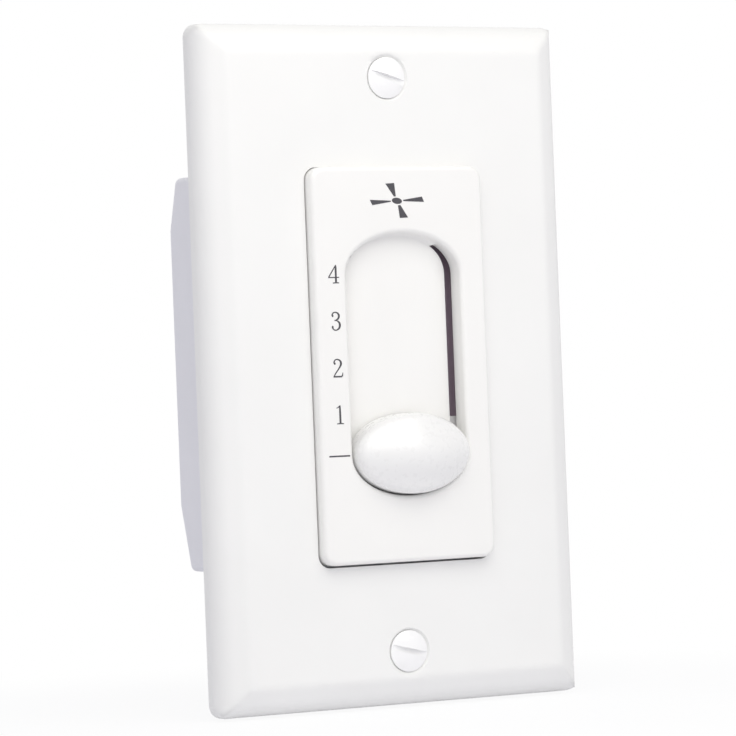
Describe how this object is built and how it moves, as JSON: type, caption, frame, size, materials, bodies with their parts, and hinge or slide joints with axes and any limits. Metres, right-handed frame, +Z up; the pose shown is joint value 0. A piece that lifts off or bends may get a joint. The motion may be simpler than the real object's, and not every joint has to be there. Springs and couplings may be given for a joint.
{
  "type": "ceiling fan wall switch",
  "caption": "Slide speed control for a ceiling fan: bevelled wall plate, raised insert with a recessed oval slider, steel mounting strap and a closed rear housing.",
  "frame": {"origin": "centre of the wall plate on the wall plane, midway between the two box screws", "axes": "+Z up along the plate's height, +X right as seen from the front, +Y into the wall along the box screws"},
  "size_m": [0.07, 0.0472, 0.1154],
  "materials": {
    "white_plate": "satin moulded white",
    "white_bezel": "satin moulded white",
    "white_knob": "polished white",
    "white_enamel": "white enamel",
    "white_nylon": "plain white nylon",
    "brown_fibre": "dark vulcanised fibre",
    "zinc_steel": "zinc plated",
    "spring_steel": "hardened strip",
    "pale_housing": "matt moulded pale grey",
    "brown_phenolic": "laminated phenolic",
    "contact_brass": "plain brass",
    "capacitor_case": "moulded box",
    "resistor_body": "lacquered",
    "ceramic_body": "fired ceramic",
    "fuse_body": "ceramic tube"
  },
  "bodies": {
    "switch_body": {"wall_plate": "white_plate", "plate_screws": "white_enamel", "face_bezel": "white_bezel", "insulator_sheet": "brown_fibre", "mounting_strap": "zinc_steel", "box_screws": "zinc_steel", "housing_screws": "zinc_steel", "rear_housing": "pale_housing", "circuit_board": "brown_phenolic", "board_screws": "zinc_steel", "common_rail": "contact_brass", "speed_contacts": "contact_brass", "run_capacitor": "capacitor_case", "trim_capacitor": "capacitor_case", "bleed_resistors": "resistor_body", "surge_resistor": "ceramic_body", "thermal_fuse": "fuse_body", "lead_tabs": "contact_brass", "ground_terminal": "contact_brass", "ground_rivet": "contact_brass"},
    "slider": {"slider_knob": "white_knob", "slider_carriage": "white_nylon", "wiper_contact": "contact_brass", "wiper_rivets": "contact_brass", "detent_spring": "spring_steel"}
  },
  "joints": [
    {"name": "speed_slide", "type": "slide", "parent": "switch_body", "child": "slider", "axis": [0, 0, 1], "range_m": [0, 0.0301]}
  ]
}
